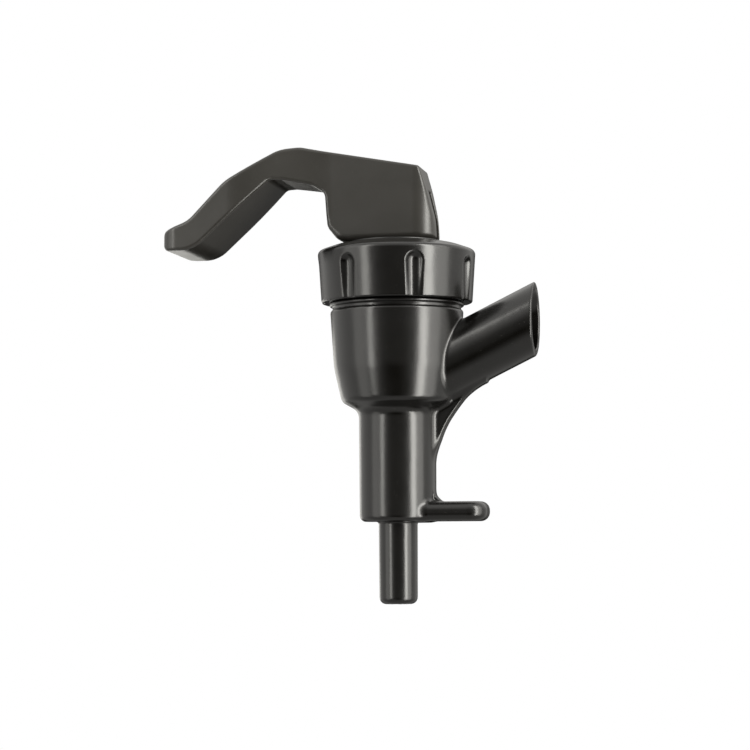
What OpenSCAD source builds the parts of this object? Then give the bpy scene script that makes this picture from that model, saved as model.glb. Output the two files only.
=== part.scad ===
// Plastic drinks faucet: a press-down lever lifts a stem off its seat.
// Upright valve axis is Z; the origin is the mouth of the spout; the inlet leans up toward +X
// and the lever reaches out toward -X.

/* [Spout and lower tube] */
// Spout outside diameter
spout_d = 9.6; // [8:0.1:11]
// Spout bore diameter
spout_bore_d = 5.8; // [4:0.1:7]
// Spout length below the lower tube
spout_l = 20.4; // [14:0.2:30]
// Lower tube outside diameter
tube_d = 19.2; // [18:0.1:22]
// Length of the lower tube up to the shoulder of the barrel
tube_l = 25.8; // [22:0.2:34]
// Bore below the valve seat
outlet_bore_d = 13.6; // [11:0.1:14.2]

/* [Barrel] */
// Barrel diameter at its top edge
barrel_d = 33.2; // [32.4:0.1:36]
// Height of the barrel from shoulder to top edge
barrel_l = 27.1; // [25:0.1:34]
// Wall of the barrel
barrel_wall = 2.6; // [2:0.1:3]
// Height of the threaded neck above the barrel
neck_l = 8.7; // [8:0.1:11]

/* [Inlet] */
// Inlet tube outside diameter
inlet_d = 16.6; // [14:0.1:18]
// Inlet bore diameter
inlet_bore_d = 13.4; // [9:0.1:13.6]
// Upward lean of the inlet
inlet_angle = 26; // [15:1:35]
// Distance from the valve axis to the square-cut inlet end
inlet_reach = 35; // [30:0.1:45]
// Thickness of the curved web under the inlet
web_t = 4; // [3:0.1:6]

/* [Finger tab] */
// Reach of the finger tab from the valve axis
tab_reach = 22.8; // [18:0.1:28]
// Width of the finger tab
tab_w = 12.6; // [10:0.1:16]
// Thickness of the finger tab
tab_t = 4.9; // [3:0.1:6]

/* [Collar nut] */
// Wall of the collar nut outside the thread
collar_wall = 3.5; // [3:0.1:4.5]
// Height of the collar nut
collar_h = 15.1; // [14.6:0.1:18]
// Number of grip notches
notch_count = 7; // [6:1:10]
// Width of a grip notch at its arched top
notch_w = 4.8; // [3:0.1:6]

/* [Stem and pin] */
// Stem shaft diameter
stem_d = 6; // [5:0.1:6.4]
// Thickness of the flat head of the stem
tang_t = 3.4; // [3:0.1:4.4]
// Pivot pin diameter
pin_d = 3; // [2.4:0.1:3.2]
// Height of the pivot above the bonnet
pivot_h = 9.2; // [8.6:0.1:10]

/* [Lever] */
// Width of the thumb paddle
lever_w = 24.4; // [20:0.2:28]
// Width of the head over the bonnet
head_w = 12; // [11:0.2:16]
// Reach of the thumb paddle from the pivot
lever_reach = 58.1; // [46:0.1:70]
// Height of the crown of the lever above the bonnet
crown_h = 23.85; // [22:0.05:26]
// Angle the lever is pressed through
press_angle = 16; // [14:1:18]
// Distance the stem lifts at the full press
lift = 3; // [2:0.1:3.5]

/* [Spring] */
// Wire diameter
wire_d = 1; // [0.8:0.1:1.2]
// Mean coil diameter
coil_d = 13.2; // [12.8:0.1:13.6]
// Number of coils
coil_count = 8; // [6:1:10]

/* [Hidden] */
$fn = 96;
fine = 0.05;
gap = 0.3;
over = 1;
// Levels up the valve axis
tube_z = spout_l;
shoulder_z = tube_z + tube_l;
rim_z = shoulder_z + barrel_l;
neck_z = rim_z + neck_l;
cup_rim_t = 2;
flange_z = neck_z + cup_rim_t;
flange_t = 2;
slip_z = flange_z + flange_t;
slip_t = 0.8;
lip_z = slip_z + slip_t;
collar_z = rim_z + 1.7;
collar_top_z = collar_z + collar_h;
boss_z = collar_top_z + 0.2;
pivot_z = boss_z + pivot_h;
// Radii
spout_r = spout_d / 2;
tube_r = tube_d / 2;
barrel_r = barrel_d / 2;
chamber_r = barrel_r - barrel_wall - 0.7;
neck_r = barrel_r - 0.4;
outlet_r = outlet_bore_d / 2;
seat_z = shoulder_z + 4.6;
seat_lip_t = 1;
bead_r = barrel_r + 0.25;
// Inlet line: the axis meets the end plane at this height
inlet_end_z = rim_z - 3;
inlet_root_z = inlet_end_z - inlet_reach * tan(inlet_angle);
inlet_len = inlet_reach / cos(inlet_angle) + inlet_d;
spigot_from = inlet_len - inlet_d - 14.3;
web_r = 22.4;
web_foot_z = shoulder_z - 12.4;
web_step = 0.45;
// Key between body, cup, bonnet
key_w = 3;
key_in = chamber_r + 0.5;
key_out = neck_r - 0.5;
key_drop = 2.6;
// Collar nut
thread_play = 0.1;
collar_bore_r = neck_r + thread_play;
collar_r = collar_bore_r + collar_wall;
collar_foot_r = collar_r - 0.85;
boss_r = 11.7;
hole_r = boss_r + fine;
notch_floor_r = collar_foot_r - 0.75;
notch_phase = -66;
notch_top_z = collar_top_z - 6.5;
// Bonnet
stem_r = stem_d / 2;
guide_r = stem_r + 1.6;
guide_drop = 6;
pocket_r = 9.4;
pocket_z = boss_z - 2;
seal_r = 0.85;
seal_mean_r = stem_r + 0.05 + seal_r;
seal_hole_r = seal_mean_r + seal_r + fine;
seal_floor_z = boss_z - 1.8;
rib_w = 1.2;
rib_h = 0.7;
rib_z = flange_z - 4;
rib_l = 5;
// Spring
washer_t = 0.5;
washer_r = 8.2;
spring_top_z = pocket_z - washer_t - fine;
plate_z = seat_z + 9.4;
plate_t = 1.4;
plate_r = 7.9;
spring_foot_z = plate_z + plate_t + fine;
coil_r = coil_d / 2;
wire_r = wire_d / 2;
coil_span = spring_top_z - spring_foot_z - wire_d;
closed_pitch = wire_d + 0.15;
turn_steps = 28;
wire_sides = 10;
// Seat cup
cup_wall = 1;
plug_r = outlet_r + 1.7;
plug_foot_z = seat_z + seat_lip_t + fine;
cup_floor_z = plate_z - gap;
cup_foot_r = plate_r + 0.4 + cup_wall;
cup_mouth_r = chamber_r - 0.5;
knob_r = 4;
knob_h = 3;
knob_z = plate_z - 4.6;
knob_neck_r = 2.4;
// Lever
lift_per_radian = lift / (press_angle * PI / 180);
cam_z = boss_z + fine;
slot_w = tang_t + 0.16;
tang_w = 2 * stem_r;
tang_top_z = pivot_z + pin_d / 2 + 1.3;
pin_skin = 1.4;
pin_sunk = 0.2;
pin_l = head_w - pin_skin - pin_sunk;
back_x = 10.6;
relief_w = 2 * stem_r + 0.7;
crown_z = boss_z + crown_h;
head_front = 17;
head_r = head_w / 2;
slot_front = stem_r + 4;
cam_steps = 5;

// The cam unrolls from a circle round the pivot, so the stem lifts evenly with the press.
function cam_point(a) = [
    -lift_per_radian * cos(a) - (cam_z - pivot_z - lift_per_radian * a * PI / 180) * -sin(a),
    pivot_z + lift_per_radian * sin(a) + (cam_z - pivot_z - lift_per_radian * a * PI / 180) * cos(a)];

module ring(r_out, r_in, z, h) {
    translate([0, 0, z])
        difference() {
            cylinder(h = h, r = r_out);
            translate([0, 0, -over]) cylinder(h = h + 2 * over, r = r_in);
        }
}

module inlet_rod(back_r, front_r, back, front) {
    translate([0, 0, inlet_root_z])
        rotate([0, 90 - inlet_angle, 0])
            translate([0, 0, back]) cylinder(h = front - back, r1 = back_r, r2 = front_r);
}

module body_outside() {
    rotate_extrude()
        polygon([
            [0, 0], [spout_r - 1, 0], [spout_r - 0.3, 0.35], [spout_r, 1.1],
            [spout_r, tube_z + 0.1], [tube_r - 1.5, tube_z], [tube_r - 0.45, tube_z + 0.45],
            [tube_r, tube_z + 1.5], [tube_r, shoulder_z], [tube_r + 0.5, shoulder_z + 1.7],
            [tube_r + 1.9, shoulder_z + 3], [barrel_r - 3.2, shoulder_z + 4.1],
            [barrel_r - 2.1, shoulder_z + 5.3], [barrel_r - 1.7, shoulder_z + 7.2],
            [barrel_r - 0.85, shoulder_z + 12], [barrel_r - 0.45, shoulder_z + 17],
            [barrel_r, rim_z - 0.7], [barrel_r - 0.3, rim_z - 0.15], [barrel_r - 0.8, rim_z],
            [neck_r, rim_z + 0.05], [neck_r, rim_z + 0.7], [bead_r - 0.3, rim_z + 0.8],
            [bead_r, rim_z + 1.1], [bead_r - 0.3, rim_z + 1.5], [neck_r, rim_z + 1.6],
            [neck_r, neck_z - 0.5], [neck_r - 0.5, neck_z], [0, neck_z]]);
}

module body_inside() {
    rotate_extrude()
        polygon([
            [0, -over], [spout_bore_d / 2, -over], [spout_bore_d / 2, tube_z + 3.4],
            [outlet_r, tube_z + 7.5], [outlet_r, seat_z + seat_lip_t],
            [outlet_r + 0.9, seat_z + seat_lip_t], [outlet_r + 1.2, seat_z],
            [tube_r - 0.6, seat_z], [tube_r + 1.2, seat_z + 2.2], [chamber_r - 1, seat_z + 6],
            [chamber_r, seat_z + 9], [chamber_r, neck_z + over], [0, neck_z + over]]);
}

module body_web() {
    rotate([90, 0, 0])
        translate([0, 0, -web_t / 2])
            linear_extrude(web_t)
                difference() {
                    polygon([[tube_r - 2, web_foot_z], [tube_r + 0.01, web_foot_z],
                             [tube_r + 14.6, web_foot_z + 23], [tube_r - 2, web_foot_z + 23]]);
                    translate([tube_r + web_step + web_r, web_foot_z]) circle(r = web_r);
                }
}

module body_tab() {
    tab_corner = 4.5;
    difference() {
        translate([0, 0, tube_z])
            linear_extrude(tab_t)
                union() {
                    translate([0, -tab_w / 2]) square([tab_reach - tab_corner, tab_w]);
                    translate([0, -tab_w / 2 + tab_corner])
                        square([tab_reach, tab_w - 2 * tab_corner]);
                    for (s = [-1, 1])
                        translate([tab_reach - tab_corner, s * (tab_w / 2 - tab_corner)])
                            circle(r = tab_corner);
                }
        cylinder(h = tube_z + 10, r = outlet_r + 1);
    }
    rotate([90, 0, 0])
        translate([0, 0, -web_t / 2])
            linear_extrude(web_t)
                difference() {
                    translate([tube_r - 1.5, tube_z + tab_t - 0.5]) square([6, 3.9]);
                    translate([tube_r + 4.5, tube_z + tab_t + 3.4]) circle(r = 3.9);
                }
}

module body() color([0.10, 0.10, 0.09]) {
    difference() {
        union() {
            body_outside();
            difference() {
                union() {
                    inlet_rod(inlet_d / 2, inlet_d / 2, spigot_from, inlet_len);
                    inlet_rod(inlet_d / 2 + 0.3, inlet_d / 2 + 0.05, 4, spigot_from);
                }
                translate([inlet_reach, -inlet_reach, inlet_root_z - inlet_reach])
                    cube([2 * inlet_reach, 2 * inlet_reach, 4 * inlet_reach]);
            }
            body_web();
            body_tab();
        }
        body_inside();
        inlet_rod(inlet_bore_d / 2, inlet_bore_d / 2, spigot_from - 2, inlet_len);
        inlet_rod(inlet_bore_d / 2 - 0.4, inlet_bore_d / 2 - 0.2, chamber_r * 0.7, spigot_from);
        for (s = [0, 180])
            rotate([0, 0, s])
                translate([-key_w / 2 - 0.2, chamber_r - over, neck_z - key_drop - 0.5])
                    cube([key_w + 0.4, neck_r, key_drop + over]);
    }
}

module collar_outside() {
    rotate_extrude()
        polygon([
            [0, collar_z], [collar_foot_r - 0.5, collar_z], [collar_foot_r, collar_z + 0.5],
            [collar_r, collar_top_z - 3.7], [collar_r - 0.3, collar_top_z - 2.5],
            [collar_r - 1.7, collar_top_z - 1.5], [collar_r - 3.1, collar_top_z - 0.85],
            [collar_r - 4.8, collar_top_z - 0.4], [collar_r - 7, collar_top_z],
            [0, collar_top_z]]);
}

module grip_notch() {
    translate([notch_floor_r, 0, 0])
        rotate([90, 0, 90])
            linear_extrude(3)
                union() {
                    polygon([[-notch_w * 0.37, collar_z - over], [notch_w * 0.37, collar_z - over],
                             [notch_w / 2, notch_top_z], [-notch_w / 2, notch_top_z]]);
                    translate([0, notch_top_z]) circle(r = notch_w / 2);
                }
}

module collar_nut() color([0.10, 0.10, 0.09]) {
    difference() {
        collar_outside();
        translate([0, 0, collar_z - over]) cylinder(h = lip_z - collar_z + over, r = collar_bore_r);
        cylinder(h = collar_top_z + over, r = hole_r);
        for (i = [0 : notch_count - 1])
            rotate([0, 0, notch_phase + i * 360 / notch_count]) grip_notch();
    }
}

module slip_ring() color([0.85, 0.85, 0.82]) {
    ring(key_out, hole_r + gap, slip_z + 0.02, slip_t - 0.04);
}

module bonnet() color([0.12, 0.12, 0.12]) {
    difference() {
        union() {
            translate([0, 0, flange_z]) cylinder(h = flange_t, r = neck_r - 0.3);
            translate([0, 0, flange_z]) cylinder(h = boss_z - flange_z, r = boss_r);
            for (s = [0, 180])
                rotate([0, 0, s])
                    translate([-key_w / 2, key_in, flange_z - cup_rim_t - key_drop])
                        cube([key_w, key_out - key_in, key_drop + cup_rim_t + 0.5]);
        }
        translate([0, 0, flange_z - over]) cylinder(h = pocket_z - flange_z + over, r = pocket_r);
        translate([0, 0, flange_z - over]) cylinder(h = boss_z - flange_z + 2 * over, r = stem_r + fine);
        translate([0, 0, seal_floor_z]) cylinder(h = boss_z - seal_floor_z + over, r = seal_hole_r);
    }
    difference() {
        ring(guide_r, stem_r + fine, flange_z - guide_drop, pocket_z - flange_z + guide_drop + 0.2);
        translate([0, -rib_w / 2 - fine, flange_z - guide_drop - over])
            cube([stem_r + rib_h + fine, rib_w + 2 * fine, guide_drop + pocket_z - flange_z + over]);
    }
}

module stem_seal() color([0.25, 0.10, 0.08]) {
    translate([0, 0, seal_floor_z + seal_r + 0.02])
        rotate_extrude() translate([seal_mean_r, 0]) circle(r = seal_r);
}

module spring_washer() color([0.75, 0.75, 0.76]) {
    ring(washer_r, guide_r + fine, pocket_z - washer_t - 0.02, washer_t);
}

function coil_rise(t) = t < 1 ? t * closed_pitch
    : t > coil_count - 1 ? coil_span - (coil_count - t) * closed_pitch
    : closed_pitch + (t - 1) * (coil_span - 2 * closed_pitch) / (coil_count - 2);

function wire_point(t, a) = [
    (coil_r + wire_r * cos(a)) * cos(360 * t), (coil_r + wire_r * cos(a)) * sin(360 * t),
    spring_foot_z + wire_r + coil_rise(t) + wire_r * sin(a)];

module return_spring() color([0.80, 0.80, 0.82]) {
    steps = coil_count * turn_steps;
    polyhedron(
        points = [for (i = [0 : steps]) for (j = [0 : wire_sides - 1])
            wire_point(i / turn_steps, j * 360 / wire_sides)],
        faces = concat(
            [[for (j = [0 : wire_sides - 1]) j]],
            [for (i = [0 : steps - 1]) for (j = [0 : wire_sides - 1])
                [i * wire_sides + j, (i + 1) * wire_sides + j,
                 (i + 1) * wire_sides + (j + 1) % wire_sides]],
            [for (i = [0 : steps - 1]) for (j = [0 : wire_sides - 1])
                [i * wire_sides + j, (i + 1) * wire_sides + (j + 1) % wire_sides,
                 i * wire_sides + (j + 1) % wire_sides]],
            [[for (j = [wire_sides - 1 : -1 : 0]) steps * wire_sides + j]]));
}

module seat_cup() color([0.80, 0.80, 0.76]) {
    difference() {
        rotate_extrude()
            polygon([
                [0, plug_foot_z], [plug_r - 0.6, plug_foot_z], [plug_r, plug_foot_z + 0.8],
                [plug_r, cup_floor_z - 2.5], [cup_foot_r, cup_floor_z],
                [cup_foot_r, cup_floor_z + 6], [cup_mouth_r, neck_z - 3],
                [cup_mouth_r, neck_z + 0.02], [key_out, neck_z + 0.02],
                [key_out, flange_z - 0.02], [cup_mouth_r - cup_wall, flange_z - 0.02],
                [cup_mouth_r - cup_wall, neck_z - 2.7], [cup_foot_r - cup_wall, cup_floor_z + 6.2],
                [cup_foot_r - cup_wall, cup_floor_z], [0, cup_floor_z]]);
        translate([0, 0, knob_z - fine]) cylinder(h = knob_h + 2 * fine, r = knob_r + fine);
        translate([0, 0, knob_z]) cylinder(h = plate_z - knob_z, r = knob_neck_r + fine);
        for (s = [0, 180])
            rotate([0, 0, s])
                translate([-key_w / 2 - 0.1, key_in - 0.1, neck_z - over])
                    cube([key_w + 0.2, 10, cup_rim_t + 2 * over]);
    }
}

module stem() color([0.88, 0.88, 0.85]) {
    difference() {
        union() {
            translate([0, 0, knob_z]) cylinder(h = knob_h, r = knob_r);
            translate([0, 0, knob_z]) cylinder(h = plate_z - knob_z + 0.5, r = knob_neck_r);
            translate([0, 0, plate_z]) cylinder(h = plate_t, r = plate_r);
            translate([0, 0, plate_z]) cylinder(h = boss_z - plate_z, r = stem_r);
            translate([stem_r - 0.5, -rib_w / 2, rib_z]) cube([rib_h + 0.5, rib_w, rib_l]);
            intersection() {
                translate([-tang_w / 2, -tang_t / 2, boss_z - 0.1])
                    cube([tang_w, tang_t, tang_top_z - boss_z + 0.1]);
                union() {
                    translate([0, tang_t, pivot_z]) rotate([90, 0, 0])
                        cylinder(h = 2 * tang_t, r = tang_w / 2);
                    translate([-tang_w / 2, -tang_t, boss_z - 0.1])
                        cube([tang_w, 2 * tang_t, pivot_z - boss_z + 0.1]);
                }
            }
        }
        translate([0, tang_t, pivot_z]) rotate([90, 0, 0])
            cylinder(h = 2 * tang_t, r = pin_d / 2 + 0.02);
        translate([-tang_w, -tang_w, tang_top_z]) cube([2 * tang_w, 2 * tang_w, tang_w]);
    }
}

module pivot_pin() color([0.75, 0.75, 0.77]) {
    translate([0, head_r - pin_sunk, pivot_z]) rotate([90, 0, 0]) cylinder(h = pin_l, r = pin_d / 2);
}

// Place along the arm: 0 at the front of the head, 1 at the tip of the paddle.
function arm_x(share) = -head_front - share * (lever_reach - head_front);

module lever_side() {
    polygon(concat(
        [[arm_x(1), cam_z + 0.5], [arm_x(0.993), cam_z + 1.7], [arm_x(0.978), cam_z + 3],
         [arm_x(0.905), cam_z + 4], [arm_x(0.836), cam_z + 5], [arm_x(0.775), cam_z + 7],
         [arm_x(0.708), cam_z + 10.3], [arm_x(0.65), cam_z + 12.7], [arm_x(0.603), cam_z + 14.8],
         [arm_x(0.543), cam_z + 16.7], [arm_x(0.432), cam_z + 19.3], [arm_x(0.362), crown_z - 2.5],
         [arm_x(0.307), crown_z - 1], [arm_x(0.26), crown_z - 0.4], [arm_x(0.182), crown_z],
         [arm_x(0.102), crown_z - 0.3], [back_x - 4.4, crown_z - 5.75],
         [back_x - 4, crown_z - 6.55], [back_x - 2.85, crown_z - 11.15],
         [back_x - 2, crown_z - 14.75], [back_x - 0.9, cam_z + 4.25],
         [back_x - 0.2, cam_z + 1.25], [back_x, cam_z + 0.4], [back_x - 0.4, cam_z]],
        [for (i = [0 : cam_steps]) cam_point(press_angle * i / cam_steps)],
        [[-head_front + 1.8, cam_z + 1.7], [-head_front + 1, cam_z + 3.4],
         [-head_front + 0.45, cam_z + 6.5], [-head_front, cam_z + 12.2],
         [arm_x(0.029), cam_z + 13.65], [arm_x(0.073), cam_z + 14.4], [arm_x(0.17), cam_z + 15.15],
         [arm_x(0.255), cam_z + 15.85], [arm_x(0.307), cam_z + 15.85],
         [arm_x(0.336), cam_z + 15.45], [arm_x(0.454), cam_z + 11.05],
         [arm_x(0.602), cam_z + 6.15], [arm_x(0.735), cam_z + 1.15], [arm_x(0.779), cam_z - 0.2],
         [arm_x(0.832), cam_z - 1.05], [arm_x(0.902), cam_z - 1.3], [arm_x(0.964), cam_z - 0.75]]));
}

// Seen from above: a wide paddle, a tapering arm and a narrow head with a round back.
module lever_plan() {
    tip_corner = 5;
    half_w = lever_w / 2;
    shoulder = 0.8;
    round_x = back_x - head_r;
    near_side = [[-lever_reach, tip_corner - half_w], [tip_corner - lever_reach, -half_w],
                 [arm_x(0.74), -half_w], [arm_x(0.61), shoulder - half_w],
                 [arm_x(0.16), -head_r - shoulder], [arm_x(0.03), -head_r], [round_x, -head_r]];
    union() {
        polygon(concat(near_side,
                       [for (i = [len(near_side) - 1 : -1 : 0]) [near_side[i][0], -near_side[i][1]]]));
        translate([round_x, 0]) circle(r = head_r);
        for (s = [-1, 1])
            translate([tip_corner - lever_reach, s * (half_w - tip_corner)]) circle(r = tip_corner);
    }
}

module lever() color([0.10, 0.10, 0.09]) {
    difference() {
        intersection() {
            translate([0, lever_w, 0]) rotate([90, 0, 0]) linear_extrude(2 * lever_w) lever_side();
            translate([0, 0, boss_z - crown_h]) linear_extrude(3 * crown_h) lever_plan();
        }
        translate([-slot_front, -slot_w / 2, cam_z - over])
            cube([slot_front + 2 * back_x, slot_w, tang_top_z + 0.5 - cam_z + over]);
        translate([-slot_front, -relief_w / 2, cam_z - over])
            cube([slot_front + stem_r + 0.4, relief_w, pivot_z - 6.6 - cam_z + over]);
        translate([0, head_w, pivot_z]) rotate([90, 0, 0])
            cylinder(h = 1.5 * head_w - pin_skin + fine, r = pin_d / 2 + fine);
    }
}

body();
collar_nut();
slip_ring();
bonnet();
stem_seal();
spring_washer();
return_spring();
seat_cup();
stem();
pivot_pin();
lever();
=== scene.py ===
"""Looks of the plastic drinks faucet: glossy black mouldings, the hidden valve pieces and the studio."""
import math

import bpy
import numpy as np
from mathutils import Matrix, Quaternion, Vector


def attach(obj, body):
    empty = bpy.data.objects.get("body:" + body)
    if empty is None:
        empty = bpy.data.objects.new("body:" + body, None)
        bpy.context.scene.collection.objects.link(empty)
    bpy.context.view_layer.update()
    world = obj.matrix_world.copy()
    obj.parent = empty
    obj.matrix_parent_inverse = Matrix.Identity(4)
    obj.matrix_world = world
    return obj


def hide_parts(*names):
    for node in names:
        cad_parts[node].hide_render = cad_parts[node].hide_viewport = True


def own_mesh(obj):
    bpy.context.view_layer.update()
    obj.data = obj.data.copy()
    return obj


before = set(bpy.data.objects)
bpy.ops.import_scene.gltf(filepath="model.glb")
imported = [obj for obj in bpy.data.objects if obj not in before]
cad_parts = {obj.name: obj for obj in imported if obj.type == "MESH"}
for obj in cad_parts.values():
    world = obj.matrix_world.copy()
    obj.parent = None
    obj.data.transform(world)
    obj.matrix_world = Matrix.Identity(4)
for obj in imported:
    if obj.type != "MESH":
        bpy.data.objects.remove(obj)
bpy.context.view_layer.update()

MM = 0.001


# Shapes as distance fields, in millimetres: negative inside the plastic. The valve's axis is x = y = 0, z is
# up, the inlet leans towards +x and the lever's paddle reaches out to -x.

def round_join(a, b, r):
    """Union of two fields with a fillet of radius r in the corner between them."""
    return np.maximum(r, np.minimum(a, b)) - np.hypot(np.maximum(r - a, 0), np.maximum(r - b, 0))


def round_cut(a, b, r):
    """Field a with field b taken away, the new edges rounded to radius r."""
    return -round_join(-a, b, r)


def round_meet(a, b, r):
    """Overlap of two fields, the edge between them rounded to radius r inside both faces."""
    a, b = a + r, b + r
    return np.minimum(np.maximum(a, b), 0) + np.hypot(np.maximum(a, 0), np.maximum(b, 0)) - r


def eased(t):
    """0 below 0, 1 above 1, smooth between."""
    t = np.clip(t, 0, 1)
    return t * t * (3 - 2 * t)


def rounded_outline(corners, step=0.12):
    """Dense closed outline through (x, y, radius) corners, each corner turned with its own radius."""
    pts = [np.array(c[:2], float) for c in corners]
    out = []
    for i, corner in enumerate(corners):
        before, here, after = pts[i - 1], pts[i], pts[(i + 1) % len(pts)]
        u = (before - here) / np.linalg.norm(before - here)
        v = (after - here) / np.linalg.norm(after - here)
        half = math.acos(max(-1.0, min(1.0, float(u @ v)))) / 2
        r = corner[2]
        if r < 0.02 or half > math.radians(89.5):
            out.append(here)
            continue
        cut = r / math.tan(half)
        reach = 0.49 * min(np.linalg.norm(before - here), np.linalg.norm(after - here))
        if cut > reach:
            cut = reach
            r = cut * math.tan(half)
        centre = here + (u + v) / np.linalg.norm(u + v) * (r / math.sin(half))
        a, b = here + u * cut - centre, here + v * cut - centre
        turn = math.atan2(a[0] * b[1] - a[1] * b[0], float(a @ b))
        n = max(2, int(abs(turn) * r / step) + 1)
        for k in range(n + 1):
            t = turn * k / n
            c, s = math.cos(t), math.sin(t)
            out.append(centre + np.array([a[0] * c - a[1] * s, a[0] * s + a[1] * c]))
    return np.array(out)


class Outline:
    """A closed flat outline kept as a table of distances, read between its points."""

    def __init__(self, corners, step=0.1, margin=5.0):
        pts = rounded_outline(corners)
        self.low = pts.min(0) - margin
        self.step = step
        nx, ny = np.ceil((pts.max(0) + margin - self.low) / step).astype(int) + 1
        px, py = np.meshgrid(self.low[0] + np.arange(nx) * step,
                             self.low[1] + np.arange(ny) * step, indexing="ij")
        near = np.full(px.shape, 1e9)
        inside = np.zeros(px.shape, bool)
        for a, b in zip(pts, np.roll(pts, -1, 0)):
            d = b - a
            length = float(d @ d)
            if length < 1e-12:
                continue
            t = np.clip(((px - a[0]) * d[0] + (py - a[1]) * d[1]) / length, 0, 1)
            near = np.minimum(near, (px - a[0] - t * d[0]) ** 2 + (py - a[1] - t * d[1]) ** 2)
            if a[1] != b[1]:
                across = (py >= min(a[1], b[1])) & (py < max(a[1], b[1]))
                inside ^= across & (px < a[0] + (py - a[1]) * d[0] / d[1])
        self.table = np.where(inside, -1.0, 1.0) * np.sqrt(near)

    def __call__(self, x, y):
        u = (x - self.low[0]) / self.step
        v = (y - self.low[1]) / self.step
        nx, ny = self.table.shape
        cu, cv = np.clip(u, 0, nx - 1.001), np.clip(v, 0, ny - 1.001)
        i, j = cu.astype(int), cv.astype(int)
        f, g = cu - i, cv - j
        t = self.table
        read = (t[i, j] * (1 - f) * (1 - g) + t[i + 1, j] * f * (1 - g)
                + t[i, j + 1] * (1 - f) * g + t[i + 1, j + 1] * f * g)
        return read + np.hypot(u - cu, v - cv) * self.step


def slope(field, p, h=0.08):
    """Direction in which a field grows at each point."""
    g = np.empty_like(p)
    for axis in range(3):
        d = np.zeros(3)
        d[axis] = h
        g[:, axis] = field(*(p + d).T) - field(*(p - d).T)
    return g / (2 * h)


def skin(name, field, low, high, cell):
    """Mesh on the zero surface of a field: one vertex for each grid cell that the surface passes through."""
    axes = [np.arange(low[i], high[i] + cell, cell) for i in range(3)]
    inside = np.empty([len(a) for a in axes], bool)
    for start in range(0, len(axes[0]), 16):
        x, y, z = np.meshgrid(axes[0][start:start + 16], axes[1], axes[2], indexing="ij")
        inside[start:start + 16] = field(x, y, z) < 0
    size = np.array(inside.shape) - 1
    count = np.zeros(size, np.int8)
    for dx in (0, 1):
        for dy in (0, 1):
            for dz in (0, 1):
                count += inside[dx:dx + size[0], dy:dy + size[1], dz:dz + size[2]]
    mixed = (count > 0) & (count < 8)
    cells = np.argwhere(mixed)
    index = np.full(size, -1)
    index[mixed] = np.arange(len(cells))
    p = np.array(low) + (cells + 0.5) * cell
    centre = p.copy()
    for _ in range(6):
        g = slope(field, p)
        d = field(*p.T)
        move = -(d / np.maximum((g ** 2).sum(1), 0.2))[:, None] * g
        p += np.clip(move, -0.5 * cell, 0.5 * cell)
        p = centre + np.clip(p - centre, -0.75 * cell, 0.75 * cell)
    quads = []
    for a in range(3):
        b, c = (a + 1) % 3, (a + 2) % 3
        first = np.take(inside, range(size[a]), axis=a)
        second = np.take(inside, range(1, size[a] + 1), axis=a)
        at = np.argwhere(first != second)
        at = at[(at[:, b] > 0) & (at[:, c] > 0) & (at[:, b] < size[b]) & (at[:, c] < size[c])]
        eb, ec = np.eye(3, dtype=int)[b], np.eye(3, dtype=int)[c]
        ring = [index[tuple((at - s).T)] for s in (0 * eb, eb, eb + ec, ec)]
        quad = np.stack(ring, 1)
        out = first[tuple(at.T)]
        quads.append(np.where(out[:, None], quad, quad[:, ::-1]))
    quads = np.concatenate(quads)
    normal = slope(field, p, 0.12)
    normal /= np.maximum(np.linalg.norm(normal, axis=1), 1e-6)[:, None]
    mesh = bpy.data.meshes.new(name)
    mesh.from_pydata((p * MM).tolist(), [], quads.tolist())
    mesh.polygons.foreach_set("use_smooth", np.ones(len(quads), bool))
    mesh.normals_split_custom_set_from_vertices(normal.tolist())
    piece = bpy.data.objects.new(name, mesh)
    bpy.context.scene.collection.objects.link(piece)
    return piece


# The one-piece body: barrel, lower tube, spout, slanted inlet, web and finger tab.

INLET_LEAN = math.radians(26)
INLET_ROOT = 53.23
INLET_END = 35.0
INLET_R = 8.3
INLET_BORE_R = 6.7
INLET_BORE_START = 9
WEB_CENTRE = (32.45, 33.8)
WEB_R = 22.4
WEB_HALF = 2.0
WEB_END = 20.6
WEB_FOOT = 32
TAB_LEVEL = 22.85
TAB_HALF = 2.45
FOOT_CENTRE = (13.3, 29.1)
FOOT_R = 4.3
FOOT_HALF = 2.2
THREAD_PITCH = 3.0
THREAD_R = 15.45
THREAD_DEPTH = 0.7
SLOT_HALF = 1.7
SLOT_FOOT = 78.9
NECK_BORE_R = 13.3

body_outside = Outline([
    (-6, 0, 0), (4.75, 0, 1.7), (4.85, 20.4, 0.6), (9.55, 20.4, 1.6), (9.65, 47.9, 3), (13.9, 50.3, 2.2),
    (15.8, 58.8, 16), (16.7, 73.3, 0.9), (-6, 73.3, 0)])
neck_outside = Outline([
    (-6, 73.1, 0), (16.1, 73.1, 0), (16.1, 74.0, 0.3), (16.85, 74.05, 0.4), (16.85, 74.9, 0.4),
    (15.4, 74.95, 0.3), (15.4, 82, 0.5), (-6, 82, 0)], 0.05)
body_hollow = Outline([
    (-6, -3, 0), (2.9, -3, 0), (2.9, 23.8, 0.8), (6.8, 27.9, 0.8), (6.8, 51.8, 0.2), (7.7, 51.8, 0.3),
    (8.0, 50.8, 0.2), (9.0, 50.8, 0.4), (10.8, 53, 0.8), (12.3, 56.8, 2), (13.3, 59.8, 2), (13.3, 85, 0),
    (-6, 85, 0)])
tab_plan = Outline([(0, -6.3, 0), (22.8, -6.3, 4.6), (22.8, 6.3, 4.6), (0, 6.3, 0)])


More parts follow.
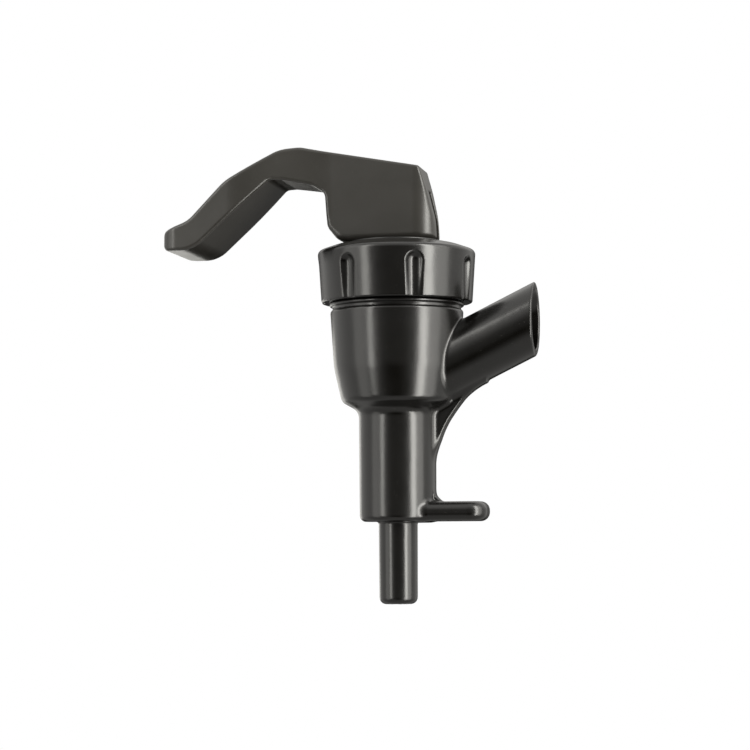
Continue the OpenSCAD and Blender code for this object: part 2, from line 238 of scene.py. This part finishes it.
def along_inlet(x, y, z):
    """Distance along the slanted inlet's centre line, distance above it and distance from it."""
    up = z - INLET_ROOT
    along = x * math.cos(INLET_LEAN) + up * math.sin(INLET_LEAN)
    above = up * math.cos(INLET_LEAN) - x * math.sin(INLET_LEAN)
    return along, above, np.hypot(above, y)


def thread(x, y, z):
    """Helical ridge of the neck under the collar nut."""
    turn = np.arctan2(y, x) / (2 * math.pi)
    wave = np.abs(np.mod(z / THREAD_PITCH - turn, 1) - 0.5) * 2
    ridge = THREAD_R + THREAD_DEPTH * np.clip(1.7 * wave - 0.55, 0, 1)
    return np.maximum((np.hypot(x, y) - ridge) * 0.8, np.maximum(75.6 - z, z - 81.7))


def web_field(x, y, along, above, z):
    """Curved web in the corner of inlet and lower tube, a little deeper at both ends, where it sinks in."""
    swell = 1.1 * eased((x - 14) / 8) + 2.6 * eased((41 - z) / 9)
    arch = WEB_R + swell - np.hypot(x - WEB_CENTRE[0], z - WEB_CENTRE[1])
    web = round_meet(arch, np.abs(y) - WEB_HALF, 0.9)
    web = np.maximum(web, np.maximum(np.maximum(along - WEB_END, -x), WEB_FOOT - z))
    return np.maximum(web, above + 1)


def foot_field(x, y, z):
    """Small curved web in the corner of the lower tube and the finger tab."""
    arch = FOOT_R - np.hypot(x - FOOT_CENTRE[0], z - FOOT_CENTRE[1])
    ends = np.maximum(np.abs(x - 9.3) - 4, np.maximum(z - FOOT_CENTRE[1], 22 - z))
    return np.maximum(np.maximum(arch, ends), np.abs(y) - FOOT_HALF)


def body_field(x, y, z):
    r = np.hypot(x, y)
    along, above, off = along_inlet(x, y, z)
    tube = np.maximum(off - INLET_R - 0.012 * np.maximum(24 - along, 0), -along)
    tube = round_cut(tube, INLET_END - x, 0.45)
    plastic = round_join(body_outside(r, z), tube, 0.7)
    plastic = round_join(plastic, web_field(x, y, along, above, z), 1.6)
    tab = round_meet(tab_plan(x, y), np.abs(z - TAB_LEVEL) - TAB_HALF, 2.2)
    plastic = round_join(plastic, np.maximum(tab, 6 - r), 1.0)
    plastic = round_join(plastic, foot_field(x, y, z), 0.35)
    bore = np.maximum(off - INLET_BORE_R, INLET_BORE_START - along)
    return round_cut(plastic, np.minimum(body_hollow(r, z), bore), 0.4)


def neck_field(x, y, z):
    """Threaded neck with its two key slots, as a piece of its own because its edges are finer."""
    r = np.hypot(x, y)
    slots = np.maximum(np.maximum(np.abs(x) - SLOT_HALF, SLOT_FOOT - z), 12 - np.abs(y))
    hollow = np.minimum(slots, r - NECK_BORE_R)
    return round_cut(np.minimum(neck_outside(r, z), thread(x, y, z)), hollow, 0.3)


# The collar nut: a domed shell with round-topped grip notches, open at their lower end.

NOTCHES = 7
NOTCH_PHASE = math.radians(-66)
NOTCH_R = 2.4
NOTCH_OUT = 18.2 + NOTCH_R
NOTCH_TOP = 86.0

collar_outside = Outline([
    (-6, 75.0, 0), (18.95, 75.0, 0.45), (19.8, 87.9, 1.2), (15.4, 89.45, 14), (11.7, 90.1, 0.3),
    (11.7, 92, 0), (-6, 92, 0)])
collar_hollow = Outline([
    (-6, 74, 0), (16.7, 74, 0), (16.3, 75.6, 0), (16.3, 86.75, 0.4), (11.75, 86.75, 0.3),
    (11.75, 93, 0), (-6, 93, 0)])


def collar_field(x, y, z):
    r = np.hypot(x, y)
    share = 2 * math.pi / NOTCHES
    turn = np.mod(np.arctan2(y, x) - NOTCH_PHASE + share / 2, share) - share / 2
    side, out = r * np.sin(turn), r * np.cos(turn)
    past_top = np.maximum(z - NOTCH_TOP + NOTCH_R, 0)
    notch = np.sqrt(side ** 2 + (out - NOTCH_OUT) ** 2 + past_top ** 2) - NOTCH_R
    shell = round_cut(collar_outside(r, z), notch, 0.45)
    return round_cut(shell, collar_hollow(r, z), 0.25)


# The lever: seen from the side, from the thumb tip round to the cam that rolls on the bonnet.

PIVOT = 99.5
PIN_HOLE_R = 1.55
HEAD_HALF = 6.3
HEAD_CENTRE = 5.2
ARM_START = -15
ARM_LONG = 26
PADDLE_HALF = 12.2
PADDLE_END = -58.1
PADDLE_CORNER = 4.0
HEAD_SLOT_HALF = 1.78
HEAD_SLOT_TOP = 102.8
BOSS_ROOM_HALF = 3.35
BOSS_ROOM_TOP = 92.9
lever_side = Outline([
    (-58.1, 89.6, 1.0), (-58.0, 93.3, 1.6), (-51.0, 96.0, 8), (-41.7, 105.6, 14), (-28.1, 113.6, 10),
    (-23.2, 114.25, 7), (6.9, 108.75, 0.7), (8.6, 103.0, 6), (10.6, 94.8, 14), (11.5, 90.35, 0.7),
    (-10.7, 90.35, 3), (-13.9, 90.6, 3), (-16.5, 94.0, 3), (-17.1, 102.7, 2.2), (-20.2, 104.6, 3),
    (-27.6, 105.9, 2), (-30.4, 105.9, 2.2), (-49.6, 88.5, 8.5), (-57.0, 88.6, 2.5)])


def lever_plan(x, y):
    """The lever from above: wide paddle with round corners, tapering arm, narrow head with a round back."""
    t = np.clip((x - ARM_START + ARM_LONG) / ARM_LONG, 0, 1)
    half = PADDLE_HALF + (HEAD_HALF - PADDLE_HALF) * eased(t)
    lean = (PADDLE_HALF - HEAD_HALF) * 6 * t * (1 - t) / ARM_LONG
    side = (np.abs(y) - half) / np.sqrt(1 + lean ** 2)
    back = np.hypot(x - HEAD_CENTRE, y) - HEAD_HALF
    tip = round_meet(PADDLE_END - x, np.abs(y) - PADDLE_HALF, PADDLE_CORNER)
    return np.where(x > HEAD_CENTRE, back, np.where(x < -48, tip, side))


def lever_field(x, y, z):
    """The lever: edges softest low on the head, with room for the stem's head, the boss and the pin."""
    head = np.clip((x + 24) / 10, 0, 1)
    low = np.clip((97 - z) / 6, 0, 1)
    edge = 0.8 - 0.2 * head * np.clip((z - 100) / 6, 0, 1) + 1.2 * head * low
    solid = round_meet(lever_side(x, z), lever_plan(x, y), edge)
    slot = np.maximum(np.abs(y) - HEAD_SLOT_HALF, np.maximum(-7 - x, z - HEAD_SLOT_TOP))
    room = np.maximum(np.maximum(-7 - x, x - 3.4), z - BOSS_ROOM_TOP)
    room = np.maximum(np.abs(y) - BOSS_ROOM_HALF, room)
    pin = np.maximum(np.hypot(x, z - PIVOT) - PIN_HOLE_R, -4.65 - y)
    return round_cut(solid, np.minimum(np.minimum(slot, room), pin), 0.3)


# The hidden pieces that scene.py draws itself: a coil spring and turned mouldings.

def shown(name, points, faces):
    """Smooth-shaded mesh from points in millimetres."""
    mesh = bpy.data.meshes.new(name)
    mesh.from_pydata((np.asarray(points) * MM).tolist(), [], faces)
    mesh.polygons.foreach_set("use_smooth", np.ones(len(mesh.polygons), bool))
    piece = bpy.data.objects.new(name, mesh)
    bpy.context.scene.collection.objects.link(piece)
    return piece


def swept(count, around, closed_path):
    """Faces joining count rings of around points each, ring after ring."""
    faces = []
    for i in range(count if closed_path else count - 1):
        a, b = i * around, (i + 1) % count * around
        for j in range(around):
            k = (j + 1) % around
            faces.append((a + j, a + k, b + k, b + j))
    return faces


def turned(name, corners, steps=96):
    """Solid of revolution of a closed outline of (radius, height, corner radius) points."""
    ring = rounded_outline(corners, 0.25)
    points = []
    for i in range(steps):
        t = 2 * math.pi * i / steps
        points += [(r * math.cos(t), r * math.sin(t), z) for r, z in ring]
    return shown(name, points, swept(steps, len(ring), True))


def coil(name, radius, wire, foot, top, turns, steps=40, around=12):
    """Compression spring between two levels, its end coils closed."""
    shut = wire * 1.15
    points = []
    for i in range(turns * steps + 1):
        t = i / steps
        if t < 1:
            rise = t * shut
        elif t > turns - 1:
            rise = top - foot - wire - (turns - t) * shut
        else:
            rise = shut + (t - 1) * (top - foot - wire - 2 * shut) / (turns - 2)
        a = 2 * math.pi * t
        for j in range(around):
            b = 2 * math.pi * j / around
            out = radius + wire / 2 * math.cos(b)
            up = foot + wire / 2 + rise + wire / 2 * math.sin(b)
            points.append((out * math.cos(a), out * math.sin(a), up))
    faces = [f[::-1] for f in swept(turns * steps + 1, around, False)]
    last = turns * steps * around
    faces += [tuple(range(around)), tuple(range(last + around - 1, last - 1, -1))]
    return shown(name, points, faces)


# Materials: shader maths is written as plain expressions on sockets.

class Wire:
    """A socket that plain expressions can add to, multiply and so on, with numbers or with other sockets."""

    def __init__(self, recipe, value):
        self.recipe, self.value = recipe, value

    def _maths(self, kind, other, swap=False):
        a, b = (other, self) if swap else (self, other)
        return self.recipe.node("Math", {"operation": kind}, {0: a, 1: b})

    def __add__(self, other):
        return self._maths("ADD", other)

    def __radd__(self, other):
        return self._maths("ADD", other, True)

    def __sub__(self, other):
        return self._maths("SUBTRACT", other)

    def __rsub__(self, other):
        return self._maths("SUBTRACT", other, True)

    def __mul__(self, other):
        return self._maths("MULTIPLY", other)

    def __rmul__(self, other):
        return self._maths("MULTIPLY", other, True)

    def __abs__(self):
        return self.recipe.node("Math", {"operation": "ABSOLUTE"}, {0: self})

    def step(self, start, end):
        """0 before start, 1 past end, smooth between."""
        smooth = {"interpolation_type": "SMOOTHSTEP"}
        return self.recipe.node("MapRange", smooth, {0: self, 1: start, 2: end})


class Recipe:
    """One node tree, emptied first: materials and the world are built through node()."""

    def __init__(self, tree):
        self.tree = tree
        self.tree.nodes.clear()

    def node(self, kind, settings=None, inputs=None, output=0):
        """A node of one kind, its settings made first, then its sockets' values or links."""
        made = self.tree.nodes.new("ShaderNode" + kind)
        for key, value in (settings or {}).items():
            setattr(made, key, value)
        for key, value in (inputs or {}).items():
            if isinstance(value, Wire):
                self.tree.links.new(value.value, made.inputs[key])
            else:
                made.inputs[key].default_value = value
        return Wire(self, made.outputs[output]) if made.outputs else made

    def place(self, axis):
        """One coordinate of the object, in metres."""
        where = self.node("TexCoord", output="Object")
        return self.node("SeparateXYZ", inputs={0: where}, output=axis)

    def noise(self, scale, detail=2.0, rough=0.5, stretch=(1, 1, 1)):
        """Noise over the object, 0 to 1, scale patches in a metre."""
        where = self.node("TexCoord", output="Object")
        spread = self.node("Mapping", inputs={"Vector": where, "Scale": stretch})
        sockets = {"Vector": spread, "Scale": scale, "Detail": detail, "Roughness": rough}
        return self.node("TexNoise", inputs=sockets, output="Fac")

    def bump(self, height, strength, distance):
        return self.node("Bump", inputs={"Height": height, "Strength": strength, "Distance": distance})

    def colours(self, share, first, second):
        """Colour between two, by share."""
        return self.node("Mix", {"data_type": "RGBA"}, {"Factor": share, 6: first, 7: second}, output=2)


def material(name, paint):
    """Material whose Principled inputs are the dictionary that paint(recipe) returns."""
    made = bpy.data.materials.new(name)
    made.use_nodes = True
    recipe = Recipe(made.node_tree)
    surface = recipe.node("BsdfPrincipled", inputs=paint(recipe))
    recipe.node("OutputMaterial", inputs={"Surface": surface})
    return made


DUST = (0.035, 0.033, 0.030, 1)


def black_moulding(seam, flow, rough, tone):
    """Glossy black plastic: gently uneven skin, haze, a few specks and a faint mould seam along y = 0."""
    black = (tone, tone * 0.93, tone * 0.8, 1)

    def paint(m):
        peel = m.noise(420, 2.0, 0.4)
        waves = m.noise(190, 2.0, 0.5, flow)
        haze = m.noise(140, 4.0, 0.55)
        specks = m.noise(2600, 0.0, 0.0).step(0.80, 0.83)
        ridge = 1 - abs(m.place(1)).step(0.00004, 0.00016)
        height = peel * 0.35 + waves * 2.4 + ridge * seam
        return {
            "Base Color": m.colours(specks * 0.3 + haze * 0.05, black, DUST),
            "Roughness": rough + haze * 0.09,
            "Normal": m.bump(height, 0.35, 0.00006),
            "IOR": 1.5,
        }
    return paint


def plain(colour, rough, metal=0.0, grain=300.0):
    """Even material with a light grain, its patches a little darker."""
    darker = tuple(c * 0.82 for c in colour[:3]) + (1,)

    def paint(m):
        grainy = m.noise(grain, 3.0)
        return {
            "Base Color": m.colours(grainy, colour, darker),
            "Roughness": rough + grainy * 0.12,
            "Metallic": metal,
            "Normal": m.bump(grainy, 0.3, 0.00003),
        }
    return paint


body_black = material("body_black", black_moulding(0.7, (1, 1, 0.5), 0.19, 0.002))
collar_black = material("collar_black", black_moulding(0.0, (1, 1, 0.6), 0.17, 0.002))
lever_black = material("lever_black", black_moulding(0.5, (0.5, 1, 1), 0.28, 0.016))
bonnet_black = material("bonnet_black", plain((0.012, 0.012, 0.012, 1), 0.38))
natural_plastic = material("natural_plastic", plain((0.62, 0.60, 0.54, 1), 0.35))
milky_silicone = material("milky_silicone", plain((0.66, 0.65, 0.60, 1), 0.45))
seal_rubber = material("seal_rubber", plain((0.02, 0.02, 0.02, 1), 0.55))
spring_steel = material("spring_steel", plain((0.60, 0.60, 0.60, 1), 0.22, 1.0, 900.0))


# Pieces: each rides a body of the frame, takes the place of a node, whose own mesh is hidden, and wears its
# one material.

def wear(piece, look):
    """Gives a piece its one material."""
    piece.data.materials.clear()
    piece.data.materials.append(look)


def finish_piece(piece, body, node, look):
    wear(piece, look)
    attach(piece, body)
    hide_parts(node)


COARSE = 1.0
for name, field, low, high, cell in (
        ("faucet_body", body_field, (-18, -18, -1), (10.9, 18, 75), 0.42),
        ("inlet_side", body_field, (9.6, -18, 18), (36.5, 18, 81), 0.28),
        ("threaded_neck", neck_field, (-18, -18, 72.5), (18, 18, 83), 0.26)):
    moulding = skin(name, field, low, high, cell * COARSE)
    finish_piece(moulding, "housing", "body", body_black)
collar = skin("ribbed_collar", collar_field, (-20.5, -20.5, 74), (20.5, 20.5, 91), 0.32 * COARSE)
finish_piece(collar, "nut", "collar_nut", collar_black)
lever = skin("thumb_lever", lever_field, (-60, -13, 87), (12.5, 13, 115.5), 0.31 * COARSE)
finish_piece(lever, "lever", "lever", lever_black)
spring = coil("closing_spring", radius=6.6, wire=1.0, foot=61.65, top=87.75, turns=8)
finish_piece(spring, "top_works", "return_spring", spring_steel)
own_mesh(spring)
cup = turned("seat_cup_moulding", [
    (0.02, 51.9, 0), (7.9, 51.9, 0), (8.5, 52.7, 0.5), (8.5, 57.4, 1), (9.3, 59.9, 1), (9.3, 65.9, 3),
    (12.8, 79, 2), (12.8, 82.05, 0), (15.7, 82.05, 0.3), (15.7, 83.95, 0.3), (11.8, 83.95, 0.3),
    (11.8, 79.3, 2), (8.3, 66.1, 3), (8.3, 59.9, 0.2), (4.1, 59.9, 0), (4.1, 55.5, 0), (0.02, 55.5, 0)])
finish_piece(cup, "top_works", "seat_cup", milky_silicone)
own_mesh(cup)
for node, look, slot in (
        ("slip_ring", natural_plastic, "natural_plastic"), ("bonnet", bonnet_black, "bonnet_plastic"),
        ("stem_seal", seal_rubber, "seal_rubber"), ("spring_washer", spring_steel, "stainless_steel"),
        ("stem", natural_plastic, "natural_plastic"), ("pivot_pin", spring_steel, "stainless_steel")):
    wear(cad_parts[node], look)


# Studio: a tall softbox on the right and a dimmer one on the left, each with a wide weak fill beside it, and
# a low card behind the thumb paddle. The surroundings are bright at the sides, dark in front and behind.

WARM = (1.0, 0.985, 0.93)
LIT_POINT = Vector((0, 0, 0.06))


def towards(azimuth, elevation):
    """Unit vector from the faucet to a place round it: azimuth 0 is the front, 90 the inlet's side."""
    a, e = math.radians(azimuth), math.radians(elevation)
    return Vector((math.sin(a) * math.cos(e), -math.cos(a) * math.cos(e), math.sin(e)))


def soft_light(name, azimuth, elevation, distance, width, height, brightness):
    """Area light that faces the faucet; its brightness is per area, whatever its size."""
    back = towards(azimuth, elevation)
    data = bpy.data.lights.new(name, "AREA")
    data.shape = "RECTANGLE"
    data.size, data.size_y = width, height
    data.energy = brightness * math.pi * width * height
    data.color = WARM
    light = bpy.data.objects.new(name, data)
    light.location = LIT_POINT + back * distance
    light.rotation_mode = "QUATERNION"
    light.rotation_quaternion = back.to_track_quat("Z", "Y")
    light.visible_camera = False
    bpy.context.scene.collection.objects.link(light)


CAMERA_AZIMUTH = 11.2
for name, aside, elevation, distance, width, height, brightness in (
        ("right_softbox", 47, 4, 0.70, 0.19, 1.30, 14.0),
        ("right_fill", 68, 4, 0.75, 0.34, 1.30, 3.0),
        ("left_softbox", -47, 12, 0.70, 0.12, 0.85, 7.0),
        ("left_fill", -70, 4, 0.75, 0.30, 1.20, 1.3),
        ("low_card", 204.8, -7, 0.365, 0.17, 0.15, 1.6)):
    soft_light(name, CAMERA_AZIMUTH + aside, elevation, distance, width, height, brightness)

world = bpy.data.worlds.new("white_studio")
bpy.context.scene.world = world
world.use_nodes = True
sky = Recipe(world.node_tree)
direction = sky.node("TexCoord", output="Generated")
upward = sky.node("SeparateXYZ", inputs={0: direction}, output=2)
camera_side = towards(CAMERA_AZIMUTH, 0)
facing = sky.node("VectorMath", {"operation": "DOT_PRODUCT"}, {0: direction, 1: camera_side}, output=1)
dark_front = facing.step(0.60, 0.97)
behind = (0 - facing).step(0.72, 0.97)
above = upward.step(0.05, 0.45)
below = (0 - upward).step(0.10, 0.50)
glow = 0.9 - dark_front * 0.78 - behind * 0.82 + above * 0.5 - below * 0.35
seen = sky.node("LightPath", output="Is Camera Ray")
studio = sky.node("Background", inputs={"Color": (1.0, 0.985, 0.95, 1), "Strength": glow})
white = sky.node("Background", inputs={"Color": (1, 1, 1, 1), "Strength": 1.0})
both = sky.node("MixShader", inputs={0: seen, 1: studio, 2: white})
sky.node("OutputWorld", inputs={"Surface": both})


# Camera of the photograph: below the collar nut and turned a little towards the inlet's side.

CAMERA_ELEVATION = -4.0
CAMERA_DISTANCE = 0.580
CAMERA_AIM = Vector((0, 0, 0.057))
CAMERA_ROLL = -0.35
SENSOR = 36
PHOTO_PIXELS = 750
LENS_PIXELS = 2320
SHIFT_PIXELS = -22.3


def look_from(azimuth, elevation, distance, aim, roll):
    """Camera looking at a point from a direction, leaning by roll degrees."""
    back = towards(azimuth, elevation)
    data = bpy.data.cameras.new("camera")
    data.sensor_width = SENSOR
    data.lens = SENSOR * LENS_PIXELS / PHOTO_PIXELS
    data.shift_x = SHIFT_PIXELS / PHOTO_PIXELS
    data.clip_start, data.clip_end = 0.01, 10
    camera = bpy.data.objects.new("camera", data)
    camera.location = aim + back * distance
    camera.rotation_mode = "QUATERNION"
    camera.rotation_quaternion = Quaternion(back, math.radians(roll)) @ back.to_track_quat("Z", "Y")
    bpy.context.scene.collection.objects.link(camera)
    bpy.context.scene.camera = camera


look_from(CAMERA_AZIMUTH, CAMERA_ELEVATION, CAMERA_DISTANCE, CAMERA_AIM, CAMERA_ROLL)
bpy.context.scene.view_settings.view_transform = "Standard"
